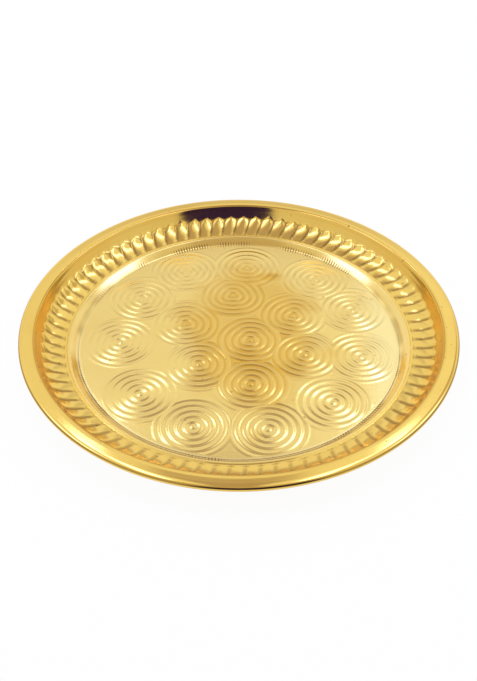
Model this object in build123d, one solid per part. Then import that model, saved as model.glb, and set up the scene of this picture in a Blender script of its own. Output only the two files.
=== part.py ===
from build123d import *
import os
from math import atan2, cos, degrees, hypot, pi, radians, sin, tan

# A pressed brass thali: one dished sheet with a slanting fluted border, its edge rolled over a wire.
# The origin is the centre of the flat underside and +Z is up. Sizes are millimetres and degrees.

# Sheet and overall size
plate_diameter = 280.0
plate_depth = 17.9
sheet = 0.6

# Rolled edge
wire_diameter = 2.2
wire_clearance = 0.05
wire_end_gap = 1.0

# The small round sections of the curl and the wire, drawn as flats
round_flats = 8
curl_flats = 5

# Rim, a gently crowned band inside the rolled edge
rim_width = 9.7
rim_crown = 0.4

# Wall, from the rim down to the floor: cove, fluted border, flat ledge, steep band
cove_run = 2.9
cove_foot = 0.8
flute_run = 14.6
flute_rise = 6.3
ledge_run = 2.7
band_run = 4.3
band_rise = 4.0

# Flutes, hollows pressed through the sheet that meet in sharp slanting ridges
flute_count = 84
flute_depth = 1.2
flute_slant = 15.0
flute_end_slope = 60.0

# Radii, heights and slopes that follow from the sizes above
outer_radius = plate_diameter / 2
floor_top = sheet
rim_top = floor_top + plate_depth
bead_radius = wire_diameter / 2 + wire_clearance + sheet
bead_centre_radius = outer_radius - bead_radius
flat_turn = 360 / round_flats
rim_edge_height = rim_top - rim_crown
bead_height = rim_edge_height - bead_radius
rim_inner_radius = outer_radius - rim_width
cove_radius = rim_inner_radius - cove_run
flute_outer_radius = cove_radius - cove_foot
flute_inner_radius = flute_outer_radius - flute_run
ledge_radius = flute_inner_radius - ledge_run / 2
foot_radius = cove_radius - cove_foot / 4
band_top_radius = flute_inner_radius - ledge_run
floor_radius = band_top_radius - band_run
ledge_height = floor_top + band_rise
cove_height = ledge_height + flute_rise
cove_slope = atan2(rim_edge_height - cove_height, cove_run)
flute_slope = atan2(flute_rise, flute_run)


def below(point, slope_in, slope_out):
    """Corner of the underside beneath a corner of the upper face, between lines of these two slopes."""
    across = sin(slope_in) + sin(slope_out)
    down = cos(slope_in) + cos(slope_out)
    reach = sheet / (1 + cos(slope_in - slope_out))
    return (point[0] + across * reach, point[1] - down * reach)


def turned(point, angle):
    """Place in space of a radius and height, at an angle round the plate."""
    return Vector(point[0], 0, point[1]).rotate(Axis.Z, angle)


def sheet_ring(line):
    """Ring of sheet that hangs below a line in the radius and height plane."""
    sides = [Face(line.offset_2d(sheet, Kind.INTERSECTION, side)) for side in (Side.LEFT, Side.RIGHT)]
    return revolve(min(sides, key=lambda face: face.bounding_box().max.Z), Axis.Z)


def curl_corners():
    """Corners of the curl's outside, whose flats touch its circle, from the top of the rim out and under."""
    corner_radius = bead_radius / cos(radians(flat_turn / 2))
    turns = [radians(90 - flat_turn * (index + 0.5)) for index in range(curl_flats + 1)]
    return [
        (bead_centre_radius + corner_radius * cos(turn), bead_height + corner_radius * sin(turn))
        for turn in turns
    ]


def dish():
    """Floor and steep band, out to the middle of the ledge."""
    line = Polyline(
        (0, floor_top),
        (floor_radius, floor_top),
        (band_top_radius, ledge_height),
        (ledge_radius, ledge_height),
    )
    return sheet_ring((Plane.XZ * line).wire())


def rim():
    """Cove, crowned rim and the curl that wraps the wire."""
    crease = (rim_inner_radius, rim_edge_height)
    curl = curl_corners()
    with BuildLine(Plane.XZ) as upper_face:
        Polyline((foot_radius, cove_height), (cove_radius, cove_height), crease)
        SagittaArc(crease, curl[0], rim_crown)
        Polyline(*curl)
    return sheet_ring(upper_face.wire())


def fluted_skin(inner_ridge, inner_bed, outer_bed, outer_ridge, inner_circle, outer_circle):
    """One side of the fluted border: its hollows with their end walls, and the flat strips beside them."""
    pitch = 360 / flute_count
    slope_length = hypot(flute_run, flute_rise)
    twist = degrees(slope_length * tan(radians(flute_slant)) / (flute_inner_radius + flute_run / 2))

    def end_edges(ridge, bed, shift):
        start = turned(ridge, -shift)
        end = turned(ridge, pitch - shift)
        chord = Line(start, end)
        return chord, ThreePointArc(start, turned(bed, pitch / 2 - shift), end)

    inner_chord, inner_arc = end_edges(inner_ridge, inner_bed, 0)
    outer_chord, outer_arc = end_edges(outer_ridge, outer_bed, twist)
    one_flute = [
        Face(Wire([inner_chord, inner_arc])),
        Face.make_surface_from_curves(inner_arc.edge(), outer_arc.edge()),
        Face(Wire([outer_chord, outer_arc])),
    ]
    turns = [Rot(0, 0, pitch * index) for index in range(flute_count)]
    faces = [turn * face for turn in turns for face in one_flute]
    inner_wire = Wire([turn * inner_chord.edge() for turn in turns])
    outer_wire = Wire([turn * outer_chord.edge() for turn in turns])
    faces.append(Face(inner_wire, [Wire(inner_circle)]))
    faces.append(Face(Wire(outer_circle), [outer_wire]))
    return faces


def fluted_border():
    """Ring of flutes between the ledge and the foot of the cove, one sheet thick."""
    end_slope = -radians(flute_end_slope)
    half_turn = pi / flute_count
    inner_chord = flute_inner_radius * cos(half_turn)
    outer_chord = flute_outer_radius * cos(half_turn)
    inner_drop = flute_depth / (1 - tan(flute_slope) / tan(end_slope))
    outer_drop = flute_depth / (1 - tan(flute_slope) / tan(cove_slope))
    inner_bed = (inner_chord - inner_drop / tan(end_slope), ledge_height - inner_drop)
    outer_bed = (outer_chord - outer_drop / tan(cove_slope), cove_height - outer_drop)
    bed_slope = atan2(outer_bed[1] - inner_bed[1], outer_bed[0] - inner_bed[0])
    inner_back = below((inner_chord, ledge_height), 0, end_slope)
    outer_back = below((outer_chord, cove_height), cove_slope, 0)

    upper_circles = [Pos(0, 0, ledge_height) * Edge.make_circle(ledge_radius)]
    upper_circles.append(Pos(0, 0, cove_height) * Edge.make_circle(foot_radius))
    lower_circles = [Pos(0, 0, -sheet) * circle for circle in upper_circles]
    upper = fluted_skin(
        (flute_inner_radius, ledge_height),
        inner_bed,
        outer_bed,
        (flute_outer_radius, cove_height),
        *upper_circles,
    )
    lower = fluted_skin(
        (inner_back[0] / cos(half_turn), inner_back[1]),
        below(inner_bed, end_slope, bed_slope),
        below(outer_bed, bed_slope, cove_slope),
        (outer_back[0] / cos(half_turn), outer_back[1]),
        *lower_circles,
    )
    edges = [Face.extrude(circle, (0, 0, -sheet)) for circle in upper_circles]
    return Solid(Shell(upper + lower + edges))


def rim_wire():
    """Wire inside the curl, bent to a ring with its two ends butted."""
    end_angle = degrees(wire_end_gap / bead_centre_radius)
    section = Plane.XZ * Pos(bead_centre_radius, bead_height) * RegularPolygon(wire_diameter / 2, round_flats)
    return Rot(0, 0, end_angle / 2) * revolve(section, Axis.Z, 360 - end_angle)


os.makedirs("parts", exist_ok=True)
export_step(dish() + fluted_border() + rim(), "parts/plate.step")
export_step(rim_wire(), "parts/rim_wire.step")
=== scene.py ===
# Looks of a pressed brass thali: a rippled floor, a ticked band, a fluted border and a rolled rim.
from math import atan2, cos, degrees, hypot, pi, radians, sin, tan
from types import SimpleNamespace

import bpy
import numpy as np
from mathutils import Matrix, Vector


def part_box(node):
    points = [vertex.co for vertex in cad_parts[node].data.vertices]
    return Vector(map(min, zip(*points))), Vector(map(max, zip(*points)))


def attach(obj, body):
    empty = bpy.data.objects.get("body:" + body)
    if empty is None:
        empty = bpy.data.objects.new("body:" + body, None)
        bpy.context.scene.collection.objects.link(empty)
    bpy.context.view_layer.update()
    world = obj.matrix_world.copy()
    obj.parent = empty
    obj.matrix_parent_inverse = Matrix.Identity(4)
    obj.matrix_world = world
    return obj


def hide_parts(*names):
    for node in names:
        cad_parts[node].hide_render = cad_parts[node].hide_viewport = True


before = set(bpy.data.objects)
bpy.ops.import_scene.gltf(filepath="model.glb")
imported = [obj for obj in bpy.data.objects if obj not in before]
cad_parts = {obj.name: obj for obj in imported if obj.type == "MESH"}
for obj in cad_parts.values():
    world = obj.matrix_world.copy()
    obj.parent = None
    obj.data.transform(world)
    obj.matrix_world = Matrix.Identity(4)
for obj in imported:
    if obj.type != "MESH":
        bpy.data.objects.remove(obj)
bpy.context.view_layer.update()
_, plate_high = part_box("plate")
wire_low, wire_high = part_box("rim_wire")

# Main sizes in millimetres and degrees, as in the CAD model
MM = 0.001
outer_radius = plate_high.x / MM
sheet = 0.6
wire_radius = (wire_high.z - wire_low.z) / MM / 2
wire_clearance = 0.05
rim_width = 9.7
rim_crown = 0.4
ledge_run = 2.7
band_run = 4.3
band_rise = 4.0
flute_count = 84
flute_slant = 15.0

# Run of the border up into the cove, rounding of the bends, and the curl of the edge
border_run = 18.3
border_slope = 0.25
border_curve = 3.7
curl_end_turn = -150.0
rim_crest_inset = 3.1
rim_climb_power = 6
rim_foot_run = 1.6
crease_bend = 2.0
band_top_bend = 0.9
band_top_share = 0.2
floor_bend = 1.4

# Grooves between the lobes of the border, by the run outwards from the ledge
groove_depths = (0.2, 0.6)
groove_growth = (5.0, 12.5)
groove_power = 2.4
groove_inner_wall = 0.55
lobe_end = (12.6, 15.2)
lobe_end_point = 2.8
cove_fade = (12.5, 16.6)

# Fine relief: the line on the ledge, the ticks and the ripples of the floor. Each wave of the ticks'
# strength has a size, a count round the plate and a shift
ledge_line_height = 0.2
ledge_line_width = 0.6
tick_count = 340
tick_depth = 0.07
tick_mean = 0.55
tick_most = 1.2
tick_waves = [(0.3, 7, 1), (0.25, 17, 0), (0.2, 41, 2)]
tick_front_loss = 0.5
tick_front = (0.7, 0.95)
tick_inner_fade = 0.5
tick_outer_fade = (1.0, 2.6)
ripple_pitch = 4.7
ripple_height = 0.135
ripple_reach = (21.0, 26.5)
ripple_edge = 2.2

# Rows and steps of the meshes, and how they are merged and shaded
floor_cells = 305
band_foot_rows = 3
band_bend_rows = 5
band_rows = 4
steps_per_tick = 6
ledge_line_shares = (-1, -0.6, -0.25, 0.25, 0.6, 1)
ledge_rows = 3
groove_wall_runs = (0.1, 0.25, 0.4, 0.55, 0.8)
border_rows = 30
border_row_power = 0.85
steps_per_flute = 12
cove_rows = 2
crease_bend_rows = 6
rim_rows = 16
rim_rows_in_bend = 4
shoulder_rows = 6
curl_rows = 24
rim_steps = 480
wire_sides = 16
wire_steps = 240
merge_distance = 1e-7
sharp_turn = 35
flute_sharp_turn = 30

# Radii and heights that follow
floor_top = sheet
bead_radius = wire_radius + wire_clearance + sheet
bead_centre = (outer_radius - bead_radius, (wire_low.z + wire_high.z) / MM / 2)
crease = (outer_radius - rim_width, bead_centre[1] + bead_radius)
rim_top = crease[1] + rim_crown
flute_inner = crease[0] - border_run
band_top = flute_inner - ledge_run
floor_radius = band_top - band_run
ledge_height = floor_top + band_rise
border_lift = crease[1] - ledge_height - border_slope * border_run
rim_start = crease[0] - rim_foot_run
border_start = band_top + band_top_bend
band_start = floor_radius - 2 * floor_bend

# Middles of the hand-struck ring ornaments, to the right of and behind the middle of the floor
ORNAMENTS = [
    (7.3, -0.7),
    (-4.1, 45.8), (36.4, 24.3), (42.2, -14.7), (7.4, -42.0), (-25.3, -23.9), (-35.3, 15.9),
    (-37.4, 72.8), (5.8, 77.0), (53.5, 63.7), (76.5, 29.3), (78.1, -17.0), (57.4, -58.2),
    (17.7, -80.4), (-27.2, -78.3), (-60.7, -50.7), (-77.0, -2.9), (-66.0, 42.0),
]


# Modelling helpers
def arc(centre, radius, start, end, steps):
    """Points of an arc between two turns in degrees."""
    turns = [radians(start + (end - start) * index / steps) for index in range(steps + 1)]
    return [(centre[0] + radius * cos(turn), centre[1] + radius * sin(turn)) for turn in turns]


def bent(before, corner, after, bend, steps):
    """Points of a bend that rounds a corner between two straight runs."""
    to_before = np.subtract(before, corner) / hypot(*np.subtract(before, corner))
    to_after = np.subtract(after, corner) / hypot(*np.subtract(after, corner))
    half = atan2(hypot(*np.subtract(to_before, to_after)), hypot(*np.add(to_before, to_after)))
    middle = to_before + to_after
    centre = np.array(corner) + middle / hypot(*middle) * bend / sin(half)
    first = np.array(corner) + to_before * bend / tan(half) - centre
    last = np.array(corner) + to_after * bend / tan(half) - centre
    start = degrees(atan2(first[1], first[0]))
    sweep = (degrees(atan2(last[1], last[0])) - start + 180) % 360 - 180
    return arc(centre, bend, start, start + sweep, steps)


def between(start, end, share):
    """Point at a share of the way between two points."""
    return tuple(np.add(start, np.subtract(end, start) * share))


def evenly(start, end, steps):
    """Points of a straight run between two points, without the first."""
    return [between(start, end, index / steps) for index in range(1, steps + 1)]


def ramp(value, low, high):
    """Smooth step from 0 at low to 1 at high."""
    share = np.clip((value - low) / (high - low), 0, 1)
    return share * share * (3 - 2 * share)


def only(piece):
    """Makes one object the selected and active one."""
    bpy.ops.object.select_all(action="DESELECT")
    piece.select_set(True)
    bpy.context.view_layer.objects.active = piece


def spun(name, line, steps):
    """Open ring of faces from a line turned about the axis, facing up at its inner edge."""
    mesh = bpy.data.meshes.new(name)
    points = [(radius * MM, 0, height * MM) for radius, height in line]
    mesh.from_pydata(points, [(index, index + 1) for index in range(len(points) - 1)], [])
    piece = bpy.data.objects.new(name, mesh)
    bpy.context.scene.collection.objects.link(piece)
    only(piece)
    lathe = piece.modifiers.new("lathe", "SCREW")
    lathe.steps = lathe.render_steps = steps
    lathe.use_merge_vertices = True
    bpy.ops.object.modifier_apply(modifier=lathe.name)
    bpy.ops.object.mode_set(mode="EDIT")
    bpy.ops.mesh.select_all(action="SELECT")
    bpy.ops.mesh.remove_doubles(threshold=merge_distance)
    bpy.ops.mesh.normals_make_consistent(inside=False)
    bpy.ops.object.mode_set(mode="OBJECT")
    inner_face = min(piece.data.polygons, key=lambda face: face.center.to_2d().length)
    if inner_face.normal.z < 0:
        piece.data.flip_normals()
    return piece


def places_of(mesh):
    """Rows of x, y and z of the vertices."""
    places = np.empty(len(mesh.vertices) * 3)
    mesh.vertices.foreach_get("co", places)
    return places.reshape(-1, 3).T


def set_places(mesh, x, y, z):
    """Puts the vertices at places in millimetres."""
    mesh.vertices.foreach_set("co", (np.stack([x, y, z], 1) * MM).ravel())
    mesh.update()


def moved(piece, move):
    """Moves each vertex as a function of its radius, angle and height says, in millimetres and radians."""
    x, y, z = places_of(piece.data) / MM
    radius, angle, height = move(np.hypot(x, y), np.arctan2(y, x), z)
    set_places(piece.data, radius * np.cos(angle), radius * np.sin(angle), height)


def thickened(piece):
    """Gives an open ring the thickness of the sheet, below its upper face."""
    only(piece)
    solid = piece.modifiers.new("sheet", "SOLIDIFY")
    solid.thickness = sheet * MM
    solid.offset = -1
    solid.use_even_offset = True
    bpy.ops.object.modifier_apply(modifier=solid.name)


def finished(piece, node, material, sharpest=sharp_turn):
    """Shades a piece, gives it its finish and lets it stand for a CAD node."""
    only(piece)
    bpy.ops.object.shade_smooth_by_angle(angle=radians(sharpest))
    piece.data.materials.clear()
    piece.data.materials.append(material)
    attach(piece, "root")
    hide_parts(node)


# Pieces
def rippled_floor(material):
    """Floor disc whose upper face has the rings of the ornaments."""
    bpy.ops.object.select_all(action="DESELECT")
    bpy.ops.mesh.primitive_grid_add(x_subdivisions=floor_cells, y_subdivisions=floor_cells, size=2)
    piece = bpy.context.object
    piece.name = "floor"
    across, along, _ = places_of(piece.data)
    x = across * np.sqrt(1 - along**2 / 2) * band_start
    y = along * np.sqrt(1 - across**2 / 2) * band_start
    nearest = np.min([np.hypot(x - right, y - back) for right, back in ORNAMENTS], axis=0)
    strength = 1 - ramp(nearest, *ripple_reach)
    strength = strength * ramp(band_start - np.hypot(x, y), 0, ripple_edge)
    wave = strength * np.cos(2 * pi * nearest / ripple_pitch)
    piece.data.attributes.new("ripple", "FLOAT", "POINT").data.foreach_set("value", wave)
    set_places(piece.data, x, y, floor_top + ripple_height * wave)
    only(piece)
    bpy.ops.object.mode_set(mode="EDIT")
    bpy.ops.mesh.select_all(action="SELECT")
    bpy.ops.mesh.region_to_loop()
    bpy.ops.mesh.extrude_region_move(TRANSFORM_OT_translate={"value": (0, 0, -floor_top * MM)})
    bpy.ops.mesh.edge_face_add()
    bpy.ops.mesh.select_all(action="SELECT")
    bpy.ops.mesh.normals_make_consistent(inside=False)
    bpy.ops.object.mode_set(mode="OBJECT")
    finished(piece, "plate", material)


def ticked_band(material):
    """Bend at the edge of the floor and the steep band, with short radial ticks cut across the bend."""
    start, end = (band_start, floor_top), (border_start, ledge_height)
    foot, top = (floor_radius, floor_top), (band_top, ledge_height)
    line = [start]
    line += evenly(start, (floor_radius - floor_bend / 2, floor_top), band_foot_rows)
    line += bent(start, foot, top, floor_bend, band_bend_rows)
    line += evenly(line[-1], between(top, foot, band_top_share), band_rows)
    line += bent(foot, top, end, band_top_bend, band_bend_rows)
    line += [end]
    piece = spun("band", line, steps_per_tick * tick_count)

    def ticks(radius, angle, height):
        waves = [size * np.sin(count * angle + shift) for size, count, shift in tick_waves]
        clusters = tick_mean + sum(waves) - tick_front_loss * ramp(-np.sin(angle), *tick_front)
        reach = ramp(radius, band_start, floor_radius - tick_inner_fade)
        reach = reach * (1 - ramp(radius - floor_radius, *tick_outer_fade))
        upper_face = np.arange(radius.size) < radius.size / 2
        cut = np.maximum(0, np.cos(tick_count * angle)) * np.clip(clusters, 0, tick_most)
        cut = cut * reach * upper_face
        piece.data.attributes["tick"].data.foreach_set("value", cut)
        return radius, angle, height - tick_depth * cut

    thickened(piece)
    piece.data.attributes.new("tick", "FLOAT", "POINT")
    moved(piece, ticks)
    finished(piece, "plate", material)


def border_height(run):
    """Height of the border at a run outwards from the ledge: a cone that curves up into the cove."""
    return ledge_height + border_slope * run + border_lift * (run / border_run) ** border_curve


def border_tilt(run):
    """Slope angle of the border at a run outwards from the ledge."""
    curve = border_curve * border_lift / border_run * (run / border_run) ** (border_curve - 1)
    return np.arctan(border_slope + curve)


def fluted_border(material):
    """Ledge with its raised line, and rounded lobes between narrow grooves that slant into the cove."""
    line_middle = border_start + ledge_line_width
    line = [(border_start, ledge_height)]
    for share in ledge_line_shares:
        line_height = ledge_line_height * cos(pi * share / 2)
        line.append((line_middle + ledge_line_width * share / 2, ledge_height + line_height))
    line += evenly(line[-1], (flute_inner, ledge_height), ledge_rows)
    wall_end = groove_wall_runs[-1]
    shares = [(index / border_rows) ** border_row_power for index in range(1, border_rows + 1)]
    runs = [*groove_wall_runs]
    runs += [wall_end + (rim_start - flute_inner - wall_end) * share for share in shares]
    line += [(flute_inner + run, border_height(run)) for run in runs]
    piece = spun("border", line, steps_per_flute * flute_count)
    twist = cove_fade[1] * tan(radians(flute_slant)) / (flute_inner + cove_fade[1] / 2)
    groove = piece.data.attributes.new("groove", "FLOAT", "POINT")

    def flutes(radius, angle, height):
        run = np.clip(radius - flute_inner, 0, border_run)
        aside = np.abs(2 * (angle * flute_count / (2 * pi) % 1) - 1)
        narrow = (1 - aside) ** groove_power
        groove.data.foreach_set("value", narrow)
        lobe = (1 - narrow) * (1 - ramp(run + lobe_end_point * (1 - aside), *lobe_end))
        depth = groove_depths[0] + (groove_depths[1] - groove_depths[0]) * ramp(run, *groove_growth)
        depth = depth * (1 - lobe) * np.clip(run / groove_inner_wall, 0, 1) * (1 - ramp(run, *cove_fade))
        tilt = border_tilt(run)
        slanted = angle - twist * run / cove_fade[1]
        return radius + depth * np.sin(tilt), slanted, height - depth * np.cos(tilt)

    moved(piece, flutes)
    thickened(piece)
    finished(piece, "plate", material, flute_sharp_turn)


def rolled_rim(material):
    """Top of the cove, crowned rim and the round curl of the edge."""
    crest = outer_radius - rim_crest_inset
    reach = bead_centre[0] - crest
    above = rim_top - bead_centre[1]
    shoulder = (reach**2 + above**2 - bead_radius**2) / (2 * (above - bead_radius))
    shoulder_centre = (crest, rim_top - shoulder)
    curl_start = degrees(atan2(bead_centre[1] - shoulder_centre[1], reach))
    shares = [1 - index / rim_rows for index in range(rim_rows + 1)]
    climb = [
        (crest - share * (crest - crease[0]), rim_top - rim_crown * share**rim_climb_power)
        for share in shares
    ]
    foot = (rim_start, border_height(rim_start - flute_inner))
    line = [foot]
    line += evenly(foot, between(crease, foot, 1 / 2), cove_rows)
    line += bent(foot, crease, climb[rim_rows_in_bend - 1], crease_bend, crease_bend_rows)
    line += climb[rim_rows_in_bend:]
    line += arc(shoulder_centre, shoulder, 90, curl_start, shoulder_rows)[1:]
    line += arc(bead_centre, bead_radius, curl_start, curl_end_turn, curl_rows)[1:]
    piece = spun("rim", line, rim_steps)
    thickened(piece)
    finished(piece, "plate", material)


def round_wire(material):
    """Wire that the edge is rolled over."""
    section = arc(bead_centre, wire_radius, 0, 360, wire_sides)
    piece = spun("wire", section, wire_steps)
    finished(piece, "rim_wire", material)


# Shader helpers
class Value:
    """A shader socket that Python expressions can use."""

    def __init__(self, shader, socket):
        self.shader = shader
        self.socket = socket

    def __add__(self, other):
        return self.shader.maths("ADD", self, other)

    def __radd__(self, other):
        return self.shader.maths("ADD", other, self)

    def __sub__(self, other):
        return self.shader.maths("SUBTRACT", self, other)

    def __rsub__(self, other):
        return self.shader.maths("SUBTRACT", other, self)

    def __mul__(self, other):
        return self.shader.maths("MULTIPLY", self, other)

    def __rmul__(self, other):
        return self.shader.maths("MULTIPLY", other, self)

    def __truediv__(self, other):
        return self.shader.maths("DIVIDE", self, other)

    def __abs__(self):
        return self.shader.maths("ABSOLUTE", self)


class Shader:
    """A node tree and the one way in which nodes are added to it."""

    def __init__(self, owner):
        owner.use_nodes = True
        self.tree = owner.node_tree
        self.tree.nodes.clear()

    def node(self, kind, settings=None, inputs=None, output=0):
        made = self.tree.nodes.new(kind)
        for name, setting in (settings or {}).items():
            setattr(made, name, setting)
        for name, value in (inputs or {}).items():
            if isinstance(value, Value):
                self.tree.links.new(value.socket, made.inputs[name])
            else:
                made.inputs[name].default_value = value
        return Value(self, made.outputs[output]) if made.outputs else None

    def maths(self, operation, first, second=0):
        return self.node("ShaderNodeMath", {"operation": operation}, {0: first, 1: second})

    def step(self, value, none, full):
        """Smooth step from 0 at none to 1 at full."""
        inputs = {"Value": value, "From Min": none, "From Max": full}
        return self.node("ShaderNodeMapRange", {"interpolation_type": "SMOOTHSTEP"}, inputs)

    def window(self, value, low, high, soft):
        """1 between low and high, with soft edges."""
        return self.step(value, low - soft, low + soft) * (1 - self.step(value, high - soft, high + soft))

    def distance(self, right, back):
        return self.maths("SQRT", right * right + back * back)

    def oval(self, spot, middle, reach):
        """Distance from the middle of an oval, which is 1 at its edge."""
        return self.distance((spot.right - middle[0]) / reach[0], (spot.back - middle[1]) / reach[1])

    def attribute(self, name):
        return self.node("ShaderNodeAttribute", {"attribute_name": name}, output="Fac")

    def mix(self, factor, first, second):
        return self.node("ShaderNodeMix", {"data_type": "RGBA"}, {0: factor, 6: first, 7: second}, 2)

    def parts(self, vector):
        separate = self.node("ShaderNodeSeparateXYZ", None, {0: vector})
        return [Value(self, socket) for socket in separate.socket.node.outputs]

    def place(self):
        return self.node("ShaderNodeTexCoord", output="Object")

    def noise(self, place, scale, detail=4):
        return self.node("ShaderNodeTexNoise", None, {"Vector": place, "Scale": scale, "Detail": detail})

    def metal(self, colour, roughness, relief=None):
        """Ends a material in bare metal, with relief from a Bump node where it is given."""
        inputs = {"Base Color": colour, "Metallic": 1, "Roughness": roughness}
        if relief is not None:
            inputs["Normal"] = relief
        surface = self.node("ShaderNodeBsdfPrincipled", None, inputs)
        self.node("ShaderNodeOutputMaterial", None, {"Surface": surface})


def rgb(red, green, blue):
    return (red, green, blue, 1)


# Finishes
GOLD = rgb(0.87, 0.65, 0.22)
PALE_GOLD = rgb(0.94, 0.76, 0.33)
DEEP_GOLD = rgb(0.88, 0.61, 0.15)
AMBER = rgb(0.72, 0.42, 0.06)
BROWN = rgb(0.22, 0.11, 0.02)
DARK_STEEL = rgb(0.42, 0.41, 0.39)
PALE_STEEL = rgb(0.58, 0.57, 0.55)

# Grain of the noises per metre, of the spun lines per millimetre of radius, and how much each shows
NOISE_MIDDLE = 0.5
HAZE_GRAIN = 60
HAZE_DULLS = 0.1
BLOTCH_GRAIN = 22
BLOTCH_LEVELS = (0.0, 0.3)
BLOTCH_AMBER = 0.25
SPECK_GRAIN = 420
SPECK_LEVELS = (0.82, 0.85)
SPECK_BROWN = 0.5
SPUN_GRAIN = 2.5
SPUN_STRENGTH = 0.08
SPUN_DEPTH = 0.0002
SPUN_DULLS = 0.05
BROWN_DULLS = 0.15
STREAK_GRAIN = 300
STREAK_DULLS = 0.2
STEEL_ROUGHNESS = 0.3


def paler_patches(shader, spot):
    """Paler colour at the right edge of the floor, and on the band towards the front."""
    side_ragged = 12
    side = shader.step(spot.right + side_ragged * spot.blotches, none=72, full=96)
    side = side * shader.step(spot.radius, none=floor_radius, full=floor_radius - 4)
    front = shader.step(spot.back, none=45, full=-25)
    front = front * shader.window(spot.radius, floor_radius - 2, band_top, soft=1)
    return shader.maths("MAXIMUM", side, front)


def brass(name, base, roughness, tarnish_and_shade, dirt_and_shade):
    """Brass with a hazy polish, fine spun lines, amber tarnish, dirt, painted shade in its recesses and
    creases, and a few specks.
    """
    material = bpy.data.materials.new(name)
    shader = Shader(material)
    place = shader.place()
    right, back, _ = [share / MM for share in shader.parts(place)]
    radius = shader.distance(right, back)
    haze = shader.noise(place, HAZE_GRAIN) - NOISE_MIDDLE
    blotches = shader.noise(place, BLOTCH_GRAIN) - NOISE_MIDDLE
    spot = SimpleNamespace(right=right, back=back, radius=radius, haze=haze, blotches=blotches)
    specks = shader.step(shader.noise(place, SPECK_GRAIN, detail=0), *SPECK_LEVELS)
    spinning = {"W": radius, "Scale": SPUN_GRAIN, "Detail": 2}
    lines = shader.node("ShaderNodeTexNoise", {"noise_dimensions": "1D"}, spinning)
    # Amber: blotches of tarnish, plus amber painted shade on the border's cove and the rim's inner edge
    amber = BLOTCH_AMBER * shader.step(blotches, *BLOTCH_LEVELS) + tarnish_and_shade(shader, spot)
    # Brown: specks and dirt, plus painted shade in creases, grooves and the cove
    brown = SPECK_BROWN * specks + dirt_and_shade(shader, spot)
    colour = shader.mix(paler_patches(shader, spot), base, PALE_GOLD)
    colour = shader.mix(shader.maths("MINIMUM", amber, 1), colour, AMBER)
    colour = shader.mix(shader.maths("MINIMUM", brown, 1), colour, BROWN)
    dullness = HAZE_DULLS * haze + SPUN_DULLS * (lines - NOISE_MIDDLE) + BROWN_DULLS * brown
    grooves = {"Strength": SPUN_STRENGTH, "Distance": SPUN_DEPTH, "Height": lines}
    shader.metal(colour, roughness + dullness, shader.node("ShaderNodeBump", None, grooves, "Normal"))
    return material


def floor_tarnish(shader, spot):
    """Amber cloud on the middle of the floor, stronger in the ripples' hollows, and a smudge behind it."""
    cloud_amount = 0.52
    hollow_amount = 0.33
    smudge_amount = 0.5
    cloud_ragged = 0.9
    smudge_ragged = 1.2
    cloud = shader.oval(spot, middle=(8, 4), reach=(52, 92)) - cloud_ragged * spot.blotches
    cloud = shader.step(cloud, none=1.0, full=0.55)
    hollows = shader.step(shader.attribute("ripple"), none=0.1, full=-0.8)
    smudge = shader.oval(spot, middle=(23, 67), reach=(11, 6)) - smudge_ragged * spot.blotches
    smudge = shader.step(smudge, none=1.1, full=0.4)
    return cloud * (cloud_amount + hollow_amount * hollows) + smudge_amount * smudge


def floor_dirt(shader, spot):
    """Brown core of the smudge."""
    core_amount = 0.2
    core_ragged = 1.5
    core = shader.oval(spot, middle=(24, 68), reach=(5, 2.5)) - core_ragged * spot.haze
    return core_amount * shader.step(core, none=1.2, full=0.3)


def band_tarnish(shader, spot):
    """Amber foot of the steep band."""
    foot_amount = 0.15
    return foot_amount * shader.window(spot.radius - floor_radius, 0.5, 2.5, soft=0.8)


def band_ticks_and_edge_shade(shader, spot):
    """Darker ticks, and a line of painted shade where the floor ends, which fades towards the back."""
    edge_shade_amount = 0.75
    tick_amount = 0.85
    # Painted shade along the bend where the floor ends, strongest at the front
    line = shader.window(spot.radius - floor_radius, -1.1, -0.4, soft=0.2)
    line = line * shader.step(spot.back, none=40, full=-60)
    return edge_shade_amount * line + tick_amount * shader.step(shader.attribute("tick"), none=0.1, full=0.7)


def border_cove_amber_shade(shader, spot):
    """Amber painted shade in the cove above the flutes."""
    cove_shade_amount = 0.15
    return cove_shade_amount * shader.step(spot.radius - crease[0], none=-6, full=-3)


def border_painted_shade(shader, spot):
    """Painted shade at the inner ends of the grooves and in their slits, less so at the front, and in the
    cove.
    """
    end_amount = 0.3
    slit_amount = 0.7
    front_share = 0.5
    cove_shade_amount = 0.2
    groove = shader.attribute("groove")
    run = spot.radius - flute_inner
    # Painted shade: dark inner ends of the grooves, and dark slits along them
    ends = shader.step(groove, none=0.05, full=0.4) * shader.window(run, 0.1, 1.2, soft=0.3)
    slits = shader.step(groove, none=0.2, full=0.75) * shader.window(run, 2, 13.5, soft=2)
    behind = shader.step(spot.back, none=-115, full=-70)
    slits = slits * (front_share + (1 - front_share) * behind)
    cove = shader.step(spot.radius - crease[0], none=-5, full=-3)
    return end_amount * ends + slit_amount * slits + cove_shade_amount * cove


def rim_edge_amber_shade(shader, spot):
    """Amber painted shade on the inner edge of the rim, where it bends down to the crease."""
    edge_amount = 0.3
    return edge_amount * shader.step(spot.radius - crease[0], none=2.4, full=0.2)


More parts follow.
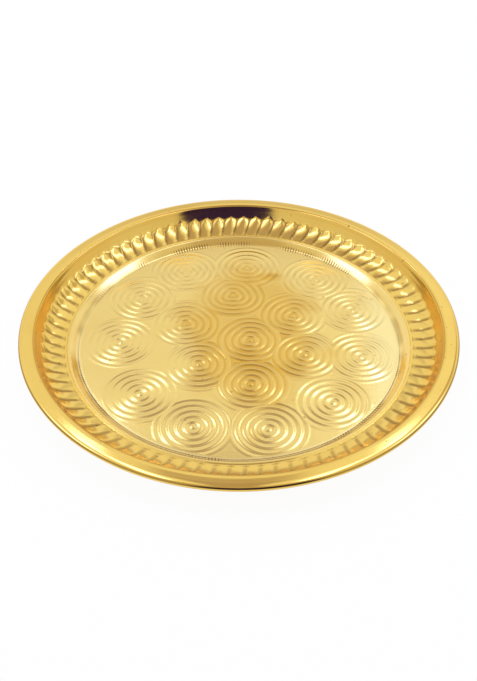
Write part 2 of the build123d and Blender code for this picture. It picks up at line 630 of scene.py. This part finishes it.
def rim_painted_shade(shader, spot):
    """Painted shade: a thin dark line along the crease, a painted dark reflection where the curl turns
    under, and shade in the cove.
    """
    curl_amount = 0.7
    crease_amount = 0.6
    cove_shade_amount = 0.2
    outwards = spot.radius - crease[0]
    # Painted dark reflection on the outer side of the curl, strongest towards the front
    curl = shader.window(spot.radius - outer_radius, -0.8, -0.1, soft=0.1)
    curl = curl * shader.step(spot.back, none=70, full=20)
    line = shader.window(outwards, 0.1, 0.5, soft=0.2)
    cove = shader.step(outwards, none=0, full=-0.5)
    return curl_amount * curl + crease_amount * line + cove_shade_amount * cove


def drawn_steel():
    """Dull drawn wire."""
    material = bpy.data.materials.new("drawn_steel")
    shader = Shader(material)
    streaks = shader.noise(shader.place(), STREAK_GRAIN)
    shader.metal(shader.mix(streaks, DARK_STEEL, PALE_STEEL), STEEL_ROUGHNESS + STREAK_DULLS * streaks)
    return material


# Pieces in place
rippled_floor(brass("brass_floor", GOLD, roughness=0.14, tarnish_and_shade=floor_tarnish, dirt_and_shade=floor_dirt))
ticked_band(brass("brass_band", GOLD, roughness=0.14, tarnish_and_shade=band_tarnish, dirt_and_shade=band_ticks_and_edge_shade))
fluted_border(brass("brass_border", DEEP_GOLD, roughness=0.1, tarnish_and_shade=border_cove_amber_shade, dirt_and_shade=border_painted_shade))
rolled_rim(brass("brass_rim", DEEP_GOLD, roughness=0.08, tarnish_and_shade=rim_edge_amber_shade, dirt_and_shade=rim_painted_shade))
round_wire(drawn_steel())


# Camera, as fitted to the photo's outer ellipse
PHOTO_SIZE = (477, 681)
PHOTO_AXIS = (238.9, 321.0)
PHOTO_FOCAL = 966.0
CAMERA_RISE = radians(40.37)
CAMERA_DISTANCE = 621.6
SENSOR_WIDTH = 36
NEAREST_SEEN = 0.01

camera = bpy.data.objects.new("camera", bpy.data.cameras.new("camera"))
bpy.context.scene.collection.objects.link(camera)
camera.location = (
    0,
    -CAMERA_DISTANCE * cos(CAMERA_RISE) * MM,
    (bead_centre[1] + CAMERA_DISTANCE * sin(CAMERA_RISE)) * MM,
)
camera.rotation_euler = (pi / 2 - CAMERA_RISE, 0, 0)
camera.data.sensor_width = SENSOR_WIDTH
camera.data.lens = SENSOR_WIDTH * PHOTO_FOCAL / max(PHOTO_SIZE)
camera.data.shift_x = (PHOTO_SIZE[0] / 2 - PHOTO_AXIS[0]) / max(PHOTO_SIZE)
camera.data.shift_y = (PHOTO_AXIS[1] - PHOTO_SIZE[1] / 2) / max(PHOTO_SIZE)
camera.data.clip_start = NEAREST_SEEN
bpy.context.scene.camera = camera


# Studio: a pale floor inside a white light tent, in metres
TABLE_SIZE = 3
TABLE_DROP = 0.0003
TABLE_GLOW = 0.95
SEEING_RAYS = ("Is Camera Ray", "Is Glossy Ray", "Is Transmission Ray")
TENT_RADIUS = 1.45
TENT_SEGMENTS = 48
TENT_RINGS = 24

# Light of the tent's cloth and of what shows through it
WHITE = rgb(1, 1, 1)
CREAM = rgb(1, 0.93, 0.8)
COOL_WHITE = rgb(1.06, 1.08, 1.12)
SOFT_WHITE = rgb(0.97, 0.97, 0.98)
BEIGE = rgb(0.65, 0.6, 0.5)
PALE_GREY = rgb(0.88, 0.87, 0.88)
LILAC_GREY = rgb(0.76, 0.74, 0.8)
HEM_BROWN = rgb(0.36, 0.28, 0.2)
TAIL_LIGHT = rgb(4.2, 4.5, 7)
STRIP_LIGHT = rgb(3, 3.2, 5)
LAMP_LIGHT = rgb(2.6, 2.7, 5)
SEAM_GREY = rgb(0.54, 0.46, 0.48)
FOOT_GREY = rgb(0.66, 0.6, 0.58)
PALE_TAN = rgb(0.82, 0.77, 0.62)
TAN = rgb(0.64, 0.54, 0.4)
DARK_ROOM = rgb(0.045, 0.025, 0.2)


def pale_floor():
    """White table that shows the plate's soft shadow."""
    bpy.ops.object.select_all(action="DESELECT")
    bpy.ops.mesh.primitive_plane_add(size=TABLE_SIZE, location=(0, 0, -TABLE_DROP))
    table = bpy.context.object
    table.name = "table"
    material = bpy.data.materials.new("table_white")
    shader = Shader(material)
    rays = shader.node("ShaderNodeLightPath").socket.node.outputs
    camera_ray, glossy_ray, clear_ray = [Value(shader, rays[name]) for name in SEEING_RAYS]
    seen = camera_ray + glossy_ray + clear_ray
    matt = shader.node("ShaderNodeBsdfDiffuse", None, {"Color": WHITE})
    glow = shader.node("ShaderNodeEmission", None, {"Color": WHITE})
    surface = shader.node("ShaderNodeMixShader", None, {0: TABLE_GLOW * seen, 1: matt, 2: glow})
    shader.node("ShaderNodeOutputMaterial", None, {"Surface": surface})
    table.data.materials.append(material)


def tent_light(shader):
    """Light of the tent: patches over white, by turn and rise in degrees or in shares of its radius."""
    right, back, up = [share / TENT_RADIUS for share in shader.parts(shader.place())]
    turn = shader.maths("ARCTAN2", right, back) * degrees(1)
    front_turn = shader.maths("ARCTAN2", right, 0 - back) * degrees(1)
    rise = shader.maths("ARCSINE", up) * degrees(1)
    lowest = -90

    def patch(around, turns, rises, soft):
        """Patch between two turns and two rises, with the softness of its sides and of its ends."""
        return shader.window(around, *turns, soft[0]) * shader.window(rise, *rises, soft[1])

    # Behind the plate
    horizon = shader.step(rise, none=24, full=12)
    right_back = patch(turn, turns=(10, 32), rises=(30, 60), soft=(3, 4))
    left_back = patch(turn, turns=(-32, -10), rises=(30, 60), soft=(4, 4))
    right_gap = patch(turn, turns=(35, 60), rises=(30, 50), soft=(3, 3))
    dim_back = patch(turn, turns=(-50, 25), rises=(27, 34.5), soft=(5, 1.5))
    low_back = patch(turn, turns=(-17, 17), rises=(27.5, 33), soft=(3, 1.5))
    foot = patch(turn, turns=(-9, 9), rises=(lowest, 14.5), soft=(4, 2.5))

    # Overhead: a dim seam between two bright strips, which close in behind as narrow tails
    seam_middle = -0.02
    strip_lean = 0.1
    tail_middle = 0.005
    tail_lean = 0.65
    beside = abs(right - seam_middle)
    seam = shader.step(back, none=0.63, full=0.605) * shader.step(beside, none=0.13, full=0.085)
    strips = shader.window(back, -0.2, 0.45, soft=0.04)
    strips = strips * shader.window(beside + strip_lean * back, 0.25, 0.39, soft=0.02)
    tails = shader.window(back, 0.4, 0.612, soft=0.012)
    tails = tails * shader.window(abs(right - tail_middle) + tail_lean * back, 0.597, 0.66, soft=0.015)

    # At the sides: a lamp each, which climbs towards the front, and a dark hem along the table
    lamp_lean = 0.44
    lamp_inner_turn = 72
    lamp_rise = rise - lamp_lean * (abs(turn) - lamp_inner_turn)
    lamps = shader.window(turn, -100, -74, soft=4) + shader.window(turn, 68, 94, soft=4)
    lamps = lamps * shader.window(lamp_rise, 32, 42, soft=3)
    hem = shader.step(abs(turn), none=45, full=60) * shader.step(rise, none=6, full=3)

    # In front: the opening, with a dim brow over it
    wide_brow = patch(front_turn, turns=(-74, 76), rises=(47, 66), soft=(8, 5))
    brow = patch(front_turn, turns=(-44, 48), rises=(53, 72), soft=(6, 5))
    opening = patch(front_turn, turns=(-20, 35), rises=(lowest, 55), soft=(1, 3))

    layers = [
        (horizon, CREAM),
        (right_back, COOL_WHITE),
        (left_back, SOFT_WHITE),
        (right_gap, BEIGE),
        (dim_back, PALE_GREY),
        (low_back, LILAC_GREY),
        (hem, HEM_BROWN),
        (tails, TAIL_LIGHT),
        (strips, STRIP_LIGHT),
        (lamps, LAMP_LIGHT),
        (seam, SEAM_GREY),
        (foot, FOOT_GREY),
        (wide_brow, PALE_TAN),
        (brow, TAN),
        (opening, DARK_ROOM),
    ]
    light = WHITE
    for cover, colour in layers:
        light = shader.mix(cover, light, colour)
    return light


def light_tent():
    """White tent of glowing cloth round the plate, hidden from the camera."""
    bpy.ops.object.select_all(action="DESELECT")
    bpy.ops.mesh.primitive_uv_sphere_add(segments=TENT_SEGMENTS, ring_count=TENT_RINGS, radius=TENT_RADIUS)
    tent = bpy.context.object
    tent.name = "tent"
    material = bpy.data.materials.new("tent_cloth")
    shader = Shader(material)
    surface = shader.node("ShaderNodeEmission", None, {"Color": tent_light(shader)})
    shader.node("ShaderNodeOutputMaterial", None, {"Surface": surface})
    tent.data.materials.append(material)
    tent.visible_camera = False


pale_floor()
light_tent()
world = bpy.data.worlds.new("white")
bpy.context.scene.world = world
world_shader = Shader(world)
background = world_shader.node("ShaderNodeBackground", None, {"Color": WHITE})
world_shader.node("ShaderNodeOutputWorld", None, {"Surface": background})
bpy.context.scene.view_settings.view_transform = "Standard"
